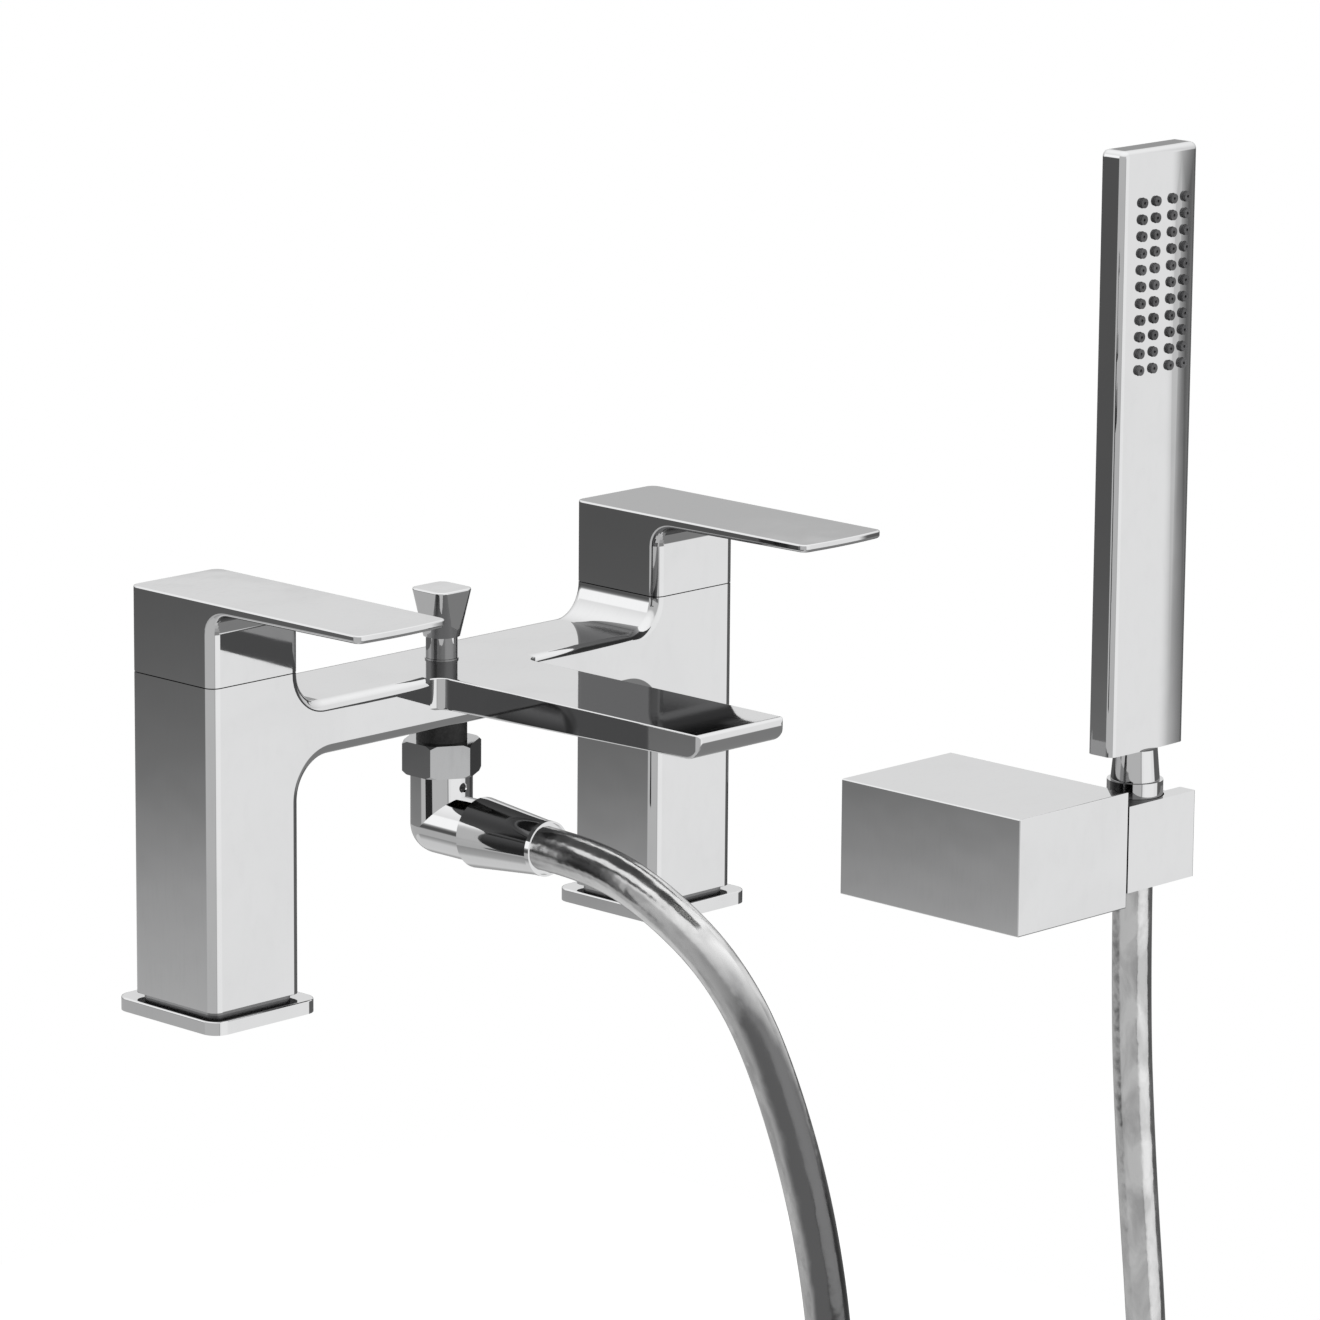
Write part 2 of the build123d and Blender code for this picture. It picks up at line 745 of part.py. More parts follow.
with BuildPart() as diverter_cage:
    with BuildSketch(Plane.XY.offset(cage_foot)):
        Circle(cage_r)
        Circle(cage_r - cage_wall, mode=Mode.SUBTRACT)
    extrude(amount=cage_height)
    with BuildSketch(Plane.XY.offset(lower_seat)):
        Circle(cage_r - cage_wall)
        Circle(seat_bore_r, mode=Mode.SUBTRACT)
    extrude(amount=seat_thickness)
    with Locations(Location((0, 0, gallery_height)) * Rotation(0, 90, 0)):
        Cylinder(gallery_r, 2 * (cage_r + overrun), mode=Mode.SUBTRACT)
save(diverter_cage, "diverter_cage")

# Shower outlet under the cage
elbow_top = nut_base - neck_gap
collar_base = cage_foot - union_washer - collar_height
with BuildPart() as outlet_union_nut:
    nut_corner_r = nut_flats / 2 / math.cos(math.pi / 6)
    with BuildSketch(Plane.XY.offset(nut_base)):
        RegularPolygon(nut_flats / 2, 6, major_radius=False, rotation=30)
    extrude(amount=nut_height)
    with BuildSketch(Plane.XZ):
        with BuildLine():
            Polyline(
                (0, nut_base),
                (nut_corner_r - nut_chamfer, nut_base),
                (nut_corner_r, nut_base + nut_chamfer),
                (nut_corner_r, nut_base + nut_height - nut_chamfer),
                (nut_corner_r - nut_chamfer, nut_base + nut_height),
                (0, nut_base + nut_height),
                close=True,
            )
        make_face()
    revolve(axis=Axis.Z, mode=Mode.INTERSECT)
    with Locations((0, 0, nut_base)):
        Cylinder(spigot_r + fit, nut_height, align=stand, mode=Mode.SUBTRACT)
    with Locations((0, 0, collar_base - fit)):
        Cylinder(cage_r + fit, nut_height, align=stand, mode=Mode.SUBTRACT)
save(outlet_union_nut, "outlet_union_nut")
under_cage = Plane.XY.offset(cage_foot - union_washer)
save(ring(under_cage, collar_r, elbow_bore_r, union_washer), "outlet_union_washer")

arm_end = -arm_reach - thread_length
with BuildPart() as outlet_elbow:
    with Locations((0, 0, arm_height)):
        Sphere(elbow_r)
        Cylinder(elbow_r, elbow_top - arm_height, align=stand)
        Cylinder(spigot_r, collar_base - arm_height, align=stand)
    with Locations((0, 0, collar_base)):
        Cylinder(collar_r, collar_height, align=stand)
    with BuildSketch(along_y(0, 0, arm_height)):
        Circle(elbow_r)
    extrude(amount=arm_reach)
    with BuildSketch(along_y(0, -arm_reach, arm_height)):
        Circle(thread_r)
    extrude(amount=thread_length)
    with Locations((0, 0, arm_height)):
        Sphere(elbow_bore_r, mode=Mode.SUBTRACT)
        Cylinder(elbow_bore_r, cage_foot - arm_height, align=stand, mode=Mode.SUBTRACT)
    with BuildSketch(along_y(0, 0, arm_height)):
        Circle(elbow_bore_r)
    extrude(amount=-arm_end, mode=Mode.SUBTRACT)
    with BuildSketch(along_y(0, arm_end, arm_height)):
        Circle(check_valve_r + fit)
    extrude(amount=-check_valve_length, mode=Mode.SUBTRACT)
    # hole of the grub screw
    with BuildSketch(along_y(0, -elbow_r, elbow_grub_height)):
        Circle(elbow_grub_r + fit)
    extrude(amount=-elbow_grub_recess - elbow_grub_length, mode=Mode.SUBTRACT)
save(outlet_elbow, "outlet_elbow")
grub_end = along_y(0, elbow_grub_recess + elbow_grub_length - elbow_r, elbow_grub_height)
save(grub_screw(grub_end, elbow_grub_r, elbow_grub_length, elbow_grub_key), "elbow_grub_screw")
in_arm = along_y(0, arm_end + check_valve_length, arm_height)
save(ring(in_arm, check_valve_r, check_valve_bore_r, check_valve_length), "check_valve")

# Lower end of the hose, along -Y from the elbow's arm
washer_end = arm_end - washer_height
flange_end = washer_end - ferrule_flange
hose_start_y = hose_hold - cone_reach
with BuildPart() as hose_lower_nut:
    with BuildSketch(Plane.YZ):
        with BuildLine():
            Polyline(
                (-arm_reach - neck_gap, arm_height + thread_r + fit),
                (-arm_reach - neck_gap, arm_height + cone_start_r),
                (cone_lip - cone_reach, arm_height + cone_end_r),
                (cone_lip - cone_reach, arm_height + cone_lip_r),
                (-cone_reach, arm_height + cone_lip_r),
                (-cone_reach, arm_height + mouth_r),
                (mouth_depth - cone_reach, arm_height + mouth_r),
                (mouth_depth - cone_reach, arm_height + hose_r + fit),
                (flange_end - fit, arm_height + hose_r + fit),
                (flange_end - fit, arm_height + chamber_r),
                (arm_end, arm_height + chamber_r),
                (arm_end, arm_height + thread_r + fit),
                close=True,
            )
        make_face()
    revolve(axis=Axis((0, 0, arm_height), (0, 1, 0)))
save(hose_lower_nut, "hose_lower_nut")
save(ring(along_y(0, arm_end, arm_height), washer_r, ferrule_bore_r, washer_height), "hose_lower_washer")

with BuildPart() as hose_lower_ferrule:
    with BuildSketch(along_y(0, washer_end, arm_height)):
        Circle(ferrule_flange_r)
    extrude(amount=ferrule_flange)
    with BuildSketch(along_y(0, flange_end, arm_height)):
        Circle(ferrule_r)
    extrude(amount=flange_end - hose_start_y)
    with BuildSketch(along_y(0, washer_end, arm_height)):
        Circle(ferrule_bore_r)
    extrude(amount=washer_end - hose_start_y, mode=Mode.SUBTRACT)
save(hose_lower_ferrule, "hose_lower_ferrule")

# Hose: it leaves the lower nut forward, hangs in one bend and rises to the handset
hose_route = [
    (0, hose_start_y, arm_height),
    (0, -64.0, arm_height),
    (0, -89.0, 33.5),
    (2.5, -113.5, 17.7),
    (5.3, -130.3, -6.9),
    (11.7, -144.1, -56.3),
    (19.0, -146.0, -114.7),
    (29.5, -138.5, -206.0),
    (38.0, -127.0, -303.0),
    (42.5, -114.0, -405.0),
    (90.7, -99.4, -473.3),
    (168.9, -76.0, -499.8),
    (247.0, -52.6, -473.3),
    (295.3, -38.1, -405.0),
    (291.0, -40.5, -333.0),
    (285.7, -42.8, -263.0),
    (283.6, -42.0, -184.4),
    (282.4, -35.4, -117.1),
    (handset_axis_x, handset_axis_y, -60.0),
    (handset_axis_x, handset_axis_y, upper_hose_end),
]
bend_radii = []
for before, here, after in zip(hose_route, hose_route[1:], hose_route[2:]):
    run_in = Vector(*here) - Vector(*before)
    run_out = Vector(*after) - Vector(*here)
    turn = math.radians(run_in.get_angle(run_out))
    shorter = min(run_in.length, run_out.length)
    bend_radii.append(arc_share * shorter / math.tan(turn / 2))
print("hose bend radii:", [round(r) for r in bend_radii])
with BuildPart() as shower_hose:
    with BuildLine() as hose_path:
        FilletPolyline(*hose_route, radius=bend_radii)
    with BuildSketch(along_y(*hose_route[0])) as hose_section:
        Circle(hose_r)
        Circle(hose_bore_r, mode=Mode.SUBTRACT)
    sweep()
hose_length = sum(e.length for e in hose_path.edges())
hose_share = shower_hose.part.volume / (hose_section.sketch.area * hose_length)
print(f"hose length {hose_length:.1f}, volume over section times length {hose_share:.4f}")
save(shower_hose, "shower_hose")

# Upper end of the hose, which stands in the holder's socket
sleeve_top = upper_hose_end + upper_ferrule_sleeve
upper_flange_top = sleeve_top + ferrule_flange
foot_base = upper_flange_top + washer_height
rim_top = rim_base + rim_height
hose_top_plane = Plane(origin=(handset_axis_x, handset_axis_y, upper_hose_end))
handset_line = Axis((handset_axis_x, handset_axis_y, 0), (0, 0, 1))
handset_cut = Plane(origin=(handset_axis_x, handset_axis_y, 0), x_dir=(1, 0, 0), z_dir=(0, -1, 0))
with BuildPart() as hose_upper_ferrule:
    with BuildSketch(hose_top_plane):
        Circle(ferrule_r)
    extrude(amount=upper_ferrule_sleeve)
    with BuildSketch(hose_top_plane.offset(upper_ferrule_sleeve)):
        Circle(ferrule_flange_r)
    extrude(amount=ferrule_flange)
    with BuildSketch(hose_top_plane):
        Circle(ferrule_bore_r)
    extrude(amount=upper_ferrule_sleeve + ferrule_flange, mode=Mode.SUBTRACT)
save(hose_upper_ferrule, "hose_upper_ferrule")
on_flange = Plane(origin=(handset_axis_x, handset_axis_y, upper_flange_top))
save(ring(on_flange, washer_r, ferrule_bore_r, washer_height), "hose_upper_washer")

with BuildPart() as hose_upper_nut:
    with BuildSketch(handset_cut):
        with BuildLine():
            Polyline(
                (upper_nut_bore_r, upper_cone_end),
                (upper_cone_end_r, upper_cone_end),
                (rim_r, rim_base),
                (rim_r, rim_top),
                (thread_r + fit, rim_top),
                (thread_r + fit, foot_base),
                (chamber_r, foot_base),
                (chamber_r, sleeve_top - fit),
                (ferrule_r + running, sleeve_top - fit),
                (ferrule_r + running, upper_hose_end + play),
                (upper_nut_bore_r, upper_hose_end + play),
                close=True,
            )
        make_face()
    revolve(axis=handset_line)
save(hose_upper_nut, "hose_upper_nut")

# Handset: foot, flat body, nozzle mat and water tube
shank_top = handset_base + shank_length
with BuildPart() as handset_foot:
    with BuildSketch(handset_cut):
        with BuildLine():
            Polyline(
                (shank_bore_r, foot_base),
                (thread_r, foot_base),
                (thread_r, rim_top),
                (foot_end_r, rim_top),
                (foot_top_r, handset_base),
                (shank_r, handset_base),
                (shank_r, foot_ring_height - foot_ring_wire_r - running),
                (shank_groove_r, foot_ring_height - foot_ring_wire_r - running),
                (shank_groove_r, foot_ring_height + foot_ring_wire_r + running),
                (shank_r, foot_ring_height + foot_ring_wire_r + running),
                (shank_r, shank_top),
                (shank_bore_r, shank_top),
                close=True,
            )
        make_face()
    revolve(axis=handset_line)
save(handset_foot, "handset_foot")
in_shank = Plane(origin=(handset_axis_x, handset_axis_y, foot_ring_height))
save(o_ring(in_shank, shank_groove_r, foot_ring_wire_r), "foot_o_ring")

handset_back = handset_axis_y + handset_thickness / 2
handset_front = handset_axis_y - handset_thickness / 2
handset_top = handset_base + handset_length
cavity_front = handset_front + handset_crown + handset_wall
cavity_back = handset_back - handset_wall
nozzle_x = handset_axis_x + nozzle_offset
column_steps = (
    -nozzle_inner_spacing / 2 - nozzle_outer_spacing,
    -nozzle_inner_spacing / 2,
    nozzle_inner_spacing / 2,
    nozzle_inner_spacing / 2 + nozzle_outer_spacing,
)
first_row = handset_top - nozzle_top_drop
nozzle_places = [
    (nozzle_x + step, first_row - row * nozzle_pitch)
    for row in range(nozzle_rows)
    for step in column_steps
]
with BuildPart() as handset_body:
    with BuildSketch(Plane.XY.offset(handset_base)) as handset_plan:
        with BuildLine():
            left = handset_axis_x - handset_width / 2
            right = handset_axis_x + handset_width / 2
            crown = ThreePointArc(
                (left, handset_front + handset_crown),
                (handset_axis_x, handset_front),
                (right, handset_front + handset_crown),
            )
            Polyline(crown @ 1, (right, handset_back), (left, handset_back), crown @ 0)
        make_face()
        fillet(handset_plan.vertices(), handset_edge_r)
    extrude(amount=handset_length)
    fillet(handset_body.faces().sort_by(Axis.Z)[-1].edges(), handset_top_r)
    with BuildSketch(Plane.XY.offset(handset_base + handset_solid)):
        with Locations((handset_axis_x, (cavity_front + cavity_back) / 2)):
            Rectangle(handset_width - 2 * handset_wall, cavity_back - cavity_front)
    extrude(amount=handset_length - handset_solid - handset_wall, mode=Mode.SUBTRACT)
    with Locations((handset_axis_x, handset_axis_y, handset_base)):
        Cylinder(shank_r + fit, handset_solid, align=stand, mode=Mode.SUBTRACT)
    with BuildSketch(along_y(0, cavity_front, 0)):
        with Locations(*nozzle_places):
            Circle(nozzle_r + nozzle_gap)
    extrude(amount=handset_wall + handset_crown, mode=Mode.SUBTRACT)
save(handset_body, "handset_body")

mat_width = nozzle_inner_spacing + 2 * (nozzle_outer_spacing + nozzle_mat_margin)
mat_height = (nozzle_rows - 1) * nozzle_pitch + 2 * nozzle_mat_margin
with BuildPart() as handset_nozzle_mat:
    with BuildSketch(along_y(nozzle_x, cavity_front + nozzle_mat_thickness, 0)):
        with Locations((0, first_row + nozzle_mat_margin - mat_height / 2)):
            RectangleRounded(mat_width, mat_height, nozzle_mat_margin / 2)
    extrude(amount=nozzle_mat_thickness)
    with BuildSketch(along_y(0, cavity_front, 0)):
        with Locations(*nozzle_places):
            Circle(nozzle_r)
    extrude(amount=cavity_front - handset_front + nozzle_proud)
    with BuildSketch(along_y(0, cavity_front + nozzle_mat_thickness, 0)):
        with Locations(*nozzle_places):
            Circle(nozzle_bore_r)
    extrude(
        amount=nozzle_mat_thickness + cavity_front - handset_front + nozzle_proud,
        mode=Mode.SUBTRACT,
    )
save(handset_nozzle_mat, "handset_nozzle_mat")
on_shank = Plane(origin=(handset_axis_x, handset_axis_y, shank_top))
tube_length = first_row + nozzle_mat_margin - mat_height - play - shank_top
save(ring(on_shank, tube_r, tube_bore_r, tube_length), "handset_tube")

# Flow straightener in the spout's mouth
with BuildPart() as flow_straightener:
    with BuildSketch(Plane.XY.offset(spout_tip_bottom)):
        with Locations((0, outlet_y)):
            Rectangle(outlet_width - 2 * fit, outlet_length - 2 * fit)
    extrude(amount=straightener_height)
    slot_pitch = (outlet_width - 2 * straightener_rim) / straightener_slots
    with BuildSketch(Plane.XY.offset(spout_tip_bottom)):
        with Locations((0, outlet_y)):
            with GridLocations(slot_pitch, 0, straightener_slots, 1):
                Rectangle(straightener_slot, outlet_length - 2 * straightener_rim)
    extrude(amount=straightener_height, mode=Mode.SUBTRACT)
save(flow_straightener, "flow_straightener")

# Bracket: a case that hangs on a wall plate and is locked to it from below
bracket_right = bracket_left + bracket_width
bracket_base = bracket_middle - bracket_height / 2
bracket_top = bracket_middle + bracket_height / 2
case_x = bracket_left + bracket_width / 2
holder_top = bracket_middle + holder_height / 2
holder_base = bracket_middle - holder_height / 2
pivot_line = Plane(origin=(0, handset_axis_y, bracket_middle), x_dir=(0, 1, 0), z_dir=(-1, 0, 0))
with BuildPart() as bracket_case:
    with BuildSketch(along_y(case_x, wall_face, bracket_middle)):
        Rectangle(bracket_width, bracket_height)
    extrude(amount=bracket_depth)
    corners = bracket_case.edges().filter_by(Axis.Y)
    front_rim = bracket_case.faces().sort_by(Axis.Y)[0].edges()
    fillet(corners + front_rim, bracket_edge_r)
    with BuildSketch(along_y(case_x, wall_face, bracket_middle)):
        Rectangle(bracket_width - 2 * bracket_wall, bracket_height - 2 * bracket_wall)
    extrude(amount=bracket_depth - bracket_wall, mode=Mode.SUBTRACT)
    # notch in the corner by the socket, with its own floor and walls
    with Locations((bracket_right - bracket_wall, bracket_front + bracket_wall, holder_top)):
        Box(
            notch_width,
            notch_depth + notch_front,
            bracket_top - bracket_wall - holder_top,
            align=(Align.MAX, Align.MIN, Align.MIN),
        )
    with Locations((bracket_right - bracket_wall, bracket_front + bracket_wall, holder_top)):
        Box(
            notch_width,
            notch_depth + notch_front,
            bracket_wall,
            align=(Align.MAX, Align.MIN, Align.MAX),
        )
    with BuildSketch(Plane.XY.offset(holder_top)):
        with BuildLine():
            Polyline(
                (bracket_right + overrun, bracket_front + notch_front),
                (bracket_right - notch_width, bracket_front + notch_front),
                (bracket_right, bracket_front + notch_front + notch_depth),
                (bracket_right + overrun, bracket_front + notch_front + notch_depth),
                close=True,
            )
        make_face()
    extrude(amount=bracket_top - holder_top, mode=Mode.SUBTRACT)
    # pivot hole and the grub screw's hole
    with BuildSketch(pivot_line.offset(-bracket_right)):
        Circle(pivot_r + running)
    extrude(amount=bracket_wall, mode=Mode.SUBTRACT)
    with Locations((case_x, wall_face - bracket_grub_back, bracket_base)):
        Cylinder(bracket_grub_r + fit, bracket_wall, align=stand, mode=Mode.SUBTRACT)
save(bracket_case, "bracket_case")

plate_width_x = bracket_width - 2 * (bracket_wall + wall_plate_gap)
plate_height_z = bracket_height - 2 * (bracket_wall + wall_plate_gap)
tongue_base = bracket_base + bracket_wall + wall_plate_gap
with BuildPart() as bracket_wall_plate:
    with BuildSketch(along_y(case_x, wall_face, bracket_middle)):
        Rectangle(plate_width_x, plate_height_z)
        with GridLocations(wall_hole_spacing, 0, 2, 1):
            Circle(wall_hole_r, mode=Mode.SUBTRACT)
    extrude(amount=wall_plate_thickness)
    with Locations((case_x, wall_face, tongue_base)):
        Box(tongue_width, tongue_reach, tongue_thickness, align=(Align.CENTER, Align.MAX, Align.MIN))
    with Locations((case_x, wall_face - bracket_grub_back, tongue_base)):
        Cylinder(bracket_grub_r + fit, tongue_thickness, align=stand, mode=Mode.SUBTRACT)
save(bracket_wall_plate, "bracket_wall_plate")
screw_tip = Plane(
    origin=(case_x, wall_face - bracket_grub_back, tongue_base + tongue_thickness - fit),
    z_dir=(0, 0, -1),
)
save(
    grub_screw(screw_tip, bracket_grub_r, bracket_grub_length, bracket_grub_key),
    "bracket_grub_screw",
)

# Holder: front plate, web and socket in one, on a pivot through the case's wall
holder_left = bracket_right + holder_gap
socket_slope = (rim_r - upper_cone_end_r) / (rim_base - upper_cone_end)
socket_top_r = rim_r + socket_gap
socket_base_r = socket_top_r - socket_slope * (holder_top - holder_base)
pivot_nut_end = bracket_right - bracket_wall - friction_washer - pivot_nut_height
with BuildPart() as handset_holder:
    with Locations((holder_left, bracket_front, holder_base)):
        Box(holder_width, holder_plate, holder_height, align=(Align.MIN, Align.MIN, Align.MIN))
    fillet(handset_holder.edges().filter_by(Axis.Z), bracket_edge_r)
    with Locations((handset_axis_x, handset_axis_y, holder_base)):
        Cylinder(socket_top_r + socket_wall, holder_height, align=stand)
    with Locations((holder_left, bracket_front, holder_base)):
        web_depth = handset_axis_y + socket_top_r + socket_wall - bracket_front
        Box(holder_web, web_depth, holder_height, align=(Align.MIN, Align.MIN, Align.MIN))
    with BuildSketch(handset_cut):
        with BuildLine():
            Polyline(
                (0, holder_base),
                (socket_base_r, holder_base),
                (socket_top_r, holder_top),
                (0, holder_top),
                close=True,
            )
        make_face()
    revolve(axis=handset_line, mode=Mode.SUBTRACT)
    with BuildSketch(pivot_line.offset(-holder_left)):
        Circle(pivot_r)
    extrude(amount=holder_left - pivot_nut_end + pivot_end)
save(handset_holder, "handset_holder")
inside_case = pivot_line.offset(bracket_wall - bracket_right)
save(ring(inside_case, pivot_nut_flats / 2, pivot_r + fit, friction_washer), "holder_friction_washer")
with BuildPart() as holder_pivot_nut:
    with BuildSketch(inside_case.offset(friction_washer)):
        RegularPolygon(pivot_nut_flats / 2, 6, major_radius=False)
        Circle(pivot_r + fit, mode=Mode.SUBTRACT)
    extrude(amount=pivot_nut_height)
save(holder_pivot_nut, "holder_pivot_nut")
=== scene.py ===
import math
import bpy
import numpy as np
from mathutils import Matrix


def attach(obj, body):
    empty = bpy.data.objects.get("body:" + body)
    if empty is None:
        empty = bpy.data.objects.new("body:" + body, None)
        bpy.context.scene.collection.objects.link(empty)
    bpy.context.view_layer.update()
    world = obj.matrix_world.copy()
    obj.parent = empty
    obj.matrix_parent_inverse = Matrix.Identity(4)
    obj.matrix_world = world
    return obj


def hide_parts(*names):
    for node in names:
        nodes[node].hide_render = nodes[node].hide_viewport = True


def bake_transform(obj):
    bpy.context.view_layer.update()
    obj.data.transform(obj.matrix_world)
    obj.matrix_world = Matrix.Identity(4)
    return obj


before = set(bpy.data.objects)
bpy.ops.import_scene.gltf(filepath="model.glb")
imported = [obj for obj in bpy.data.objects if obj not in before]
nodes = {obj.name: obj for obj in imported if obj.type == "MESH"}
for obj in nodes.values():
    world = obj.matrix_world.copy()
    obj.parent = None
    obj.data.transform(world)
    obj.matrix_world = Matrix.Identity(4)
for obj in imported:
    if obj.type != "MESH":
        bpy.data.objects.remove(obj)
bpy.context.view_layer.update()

# Bath shower mixer. Metres; +X runs along the bridge, -Y is the way the spout points, +Z is up.

# Camera
camera_place = (-1.3543, -1.4075, 0.5288)
camera_right = (0.69860, -0.71560, 0.00790)
camera_up = (0.15150, 0.15850, 0.97560)
camera_back = (-0.69940, -0.68040, 0.21920)
camera_lens = 184.3
camera_reach = 20.0
sensor_width = 36.0

# Hose: its route runs out of the lower nut, down in front, round the loop and up into the upper nut
hose_radius = 0.0065
hose_sides = 48
hose_steps = 24
hose_order = 3
hose_route = [
    (0.0000, -0.0420, 0.0404),
    (0.0000, -0.0640, 0.0404),
    (0.0000, -0.0890, 0.0335),
    (0.0025, -0.1135, 0.0177),
    (0.0053, -0.1303, -0.0069),
    (0.0117, -0.1441, -0.0563),
    (0.0190, -0.1460, -0.1147),
    (0.0295, -0.1385, -0.2060),
    (0.0380, -0.1270, -0.3030),
    (0.0425, -0.1140, -0.4050),
    (0.0907, -0.0994, -0.4733),
    (0.1689, -0.0760, -0.4998),
    (0.2470, -0.0526, -0.4733),
    (0.2953, -0.0381, -0.4050),
    (0.2910, -0.0405, -0.3330),
    (0.2857, -0.0428, -0.2630),
    (0.2836, -0.0420, -0.1844),
    (0.2824, -0.0354, -0.1171),
    (0.2849, -0.0290, -0.0600),
    (0.2849, -0.0290, -0.0050),
]
sleeve_radius = 0.00638
sleeve_length = 0.056

# Hose skin, with painted shade on one side of its front fall
# painted shade: the skin's colour is darker on the side facing this way, and that painted shade fades out
# along the hose
painted_shade_side = (-0.31, -0.85, -0.42)  # the way the dark side of the skin faces on the front fall
painted_shade_from, painted_shade_to = 0.42, 0.60  # metres along the hose over which that shade fades out
painted_shade_colour = (0.15, 0.15, 0.152, 1.0)
painted_shade_edge = (0.33, 0.66)
painted_shade_ragged = 0.5
blotch_scale = (5.0, 60.0, 1.0)
blotch_detail = 4.0
blotch_distortion = 0.5
blotch_greys = [(0.34, 0.5), (0.6, 0.76)]
blotch_range = (0.3, 0.7)
skin_roughness = (0.14, 0.26)
wrinkle_scale = (7.0, 120.0, 1.0)
wrinkle_detail = 2.0
wrinkle_strength = 0.35
skin_coat = 0.5
skin_coat_roughness = 0.05

# Smudges on the plating
smudge_detail = 4.0
smudge_distortion = 0.6
smudge_range = (0.42, 0.72)
smudge_share = 0.65
wiped_scale = (260.0, 900.0, 120.0)
wiped_detail = 3.0
wiped_range = (0.45, 0.75)
wiped_share = 0.35

# Plating
face_wave_scale = 60.0
face_wave_detail = 1.0
# painted reflection: the plating's colour where another mirror shows it is painted this dark
painted_dark_reflection = (0.14, 0.14, 0.142, 1.0)  # plating as another mirror shows it
painted_dark_reflection_rough = 0.3

# Grain of moulded, turned and lapped stuff
grain_detail = 3.0
grain_share = 0.4
cloud_scale = 45.0
cloud_detail = 4.0
cloud_share = 0.6
grain_range = (0.35, 0.65)

bump_distance = 0.001
grain_distance = 0.0004

# Fittings that the plating round them doesn't mirror, with what they hold
unreflected = (
    "outlet_elbow",
    "elbow_grub_screw",
    "outlet_union_nut",
    "outlet_union_washer",
    "check_valve",
    "hose_lower_nut",
    "hose_lower_washer",
    "hose_lower_ferrule",
)

# Studio: grey values by elevation, then soft panels over them
dome_stops = [
    (-90, 0.70),
    (-50, 0.50),
    (-24, 0.30),
    (-16, 0.30),
    (-9, 0.10),
    (-4, 0.22),
    (1, 0.70),
    (14, 0.86),
    (30, 1.02),
    (50, 1.20),
    (90, 1.25),
]
studio_panels = [
    # name, azimuths, their softness, elevations, their softness, grey
    ("rear_table", 62, 118, 16, -90, -17, 5, 0.74),
    ("rear_low_wall", 36, 146, 8, -30, -14.6, 2.6, 0.52),
    ("rear_dark_band", 30, 146, 6, -12.9, -6.0, 3.6, 0.105),
    ("rear_sky", 112, 146, 8, 0, 26, 4, 1.26),
    ("front_table", -60, 32, 10, -90, -20, 3, 0.255),
    ("right_dark_wall", -36, 36, 4, -17.5, -2, 3, 0.135),
    ("front_card", -109, -36.5, 4, -18.5, 34, 3, 1.0),
    ("front_card_middle", -100, -56, 8, -18, 30, 4, 1.07),
    ("camera_wall", 144, 248, 5, -60, 24, 12, 0.585),
    ("straight_ahead", 26, 60, 12, -25, -2, 8, 0.1),
    ("low_sky_ahead", 24, 62, 6, 2, 11.82, 0.24, 0.536),
    ("lowest_sky_ahead", 24, 62, 6, 2, 9.6, 1.0, 0.36),
]
white = (1.0, 1.0, 1.0, 1.0)

# Floor and lamp
floor_height = -0.56
floor_half = 1.2
floor_colour = (0.8, 0.8, 0.8, 1.0)
floor_glow = 1.15
floor_glow_share = 0.8
lamp_place = (-0.6, -0.9, 1.6)
lamp_size = 1.4
lamp_power = 9.0


def make_camera():
    """The camera's matrix columns are its right, up and back directions and its place."""
    data = bpy.data.cameras.new("photo_camera")
    data.lens = camera_lens
    data.sensor_width = sensor_width
    data.clip_end = camera_reach
    camera = bpy.data.objects.new("photo_camera", data)
    columns = np.eye(4)
    for row in range(3):
        columns[row] = (camera_right[row], camera_up[row], camera_back[row], camera_place[row])
    camera.matrix_world = Matrix(columns.tolist())
    bpy.context.scene.collection.objects.link(camera)
    bpy.context.scene.camera = camera


# Meshes
def add_mesh(name, points, faces, material, uv=None):
    """A mesh object at the origin from arrays of points and quads, with its UV map if one is given."""
    mesh = bpy.data.meshes.new(name)
    mesh.from_pydata(points.tolist(), [], faces.tolist())
    mesh.polygons.foreach_set("use_smooth", np.ones(len(mesh.polygons), dtype=bool))
    if uv is not None:
        layer = mesh.uv_layers.new(name="UVMap")
        layer.data.foreach_set("uv", uv.ravel())
    mesh.update()
    mesh.materials.append(material)
    piece = bpy.data.objects.new(name, mesh)
    bpy.context.scene.collection.objects.link(piece)
    return piece


def curve_points(name, route, resolution):
    """The points of the smooth NURBS curve whose control points are the route."""
    data = bpy.data.curves.new(name, "CURVE")
    data.dimensions = "3D"
    data.resolution_u = resolution
    spline = data.splines.new("NURBS")
    spline.points.add(len(route) - 1)
    spline.points.foreach_set("co", np.hstack([np.array(route), np.ones((len(route), 1))]).ravel())
    spline.order_u = hose_order
    spline.use_endpoint_u = True
    spline.resolution_u = resolution
    holder = bpy.data.objects.new(name, data)
    mesh = bpy.data.meshes.new_from_object(holder)
    points = np.zeros(len(mesh.vertices) * 3)
    mesh.vertices.foreach_get("co", points)
    bpy.data.objects.remove(holder)
    bpy.data.curves.remove(data)
    bpy.data.meshes.remove(mesh)
    return points.reshape(-1, 3)


def frames_along(path):
    """Two crosswise directions at each point of a path, which turn with it as little as they can."""
    tangents = np.gradient(path, axis=0)
    tangents /= np.linalg.norm(tangents, axis=1)[:, None]
    side = np.cross(tangents[0], (1.0, 0.0, 0.0))
    sides = []
    for tangent in tangents:
        side = side - tangent * np.dot(side, tangent)
        side = side / np.linalg.norm(side)
        sides.append(side)
    sides = np.array(sides)
    return sides, np.cross(tangents, sides)


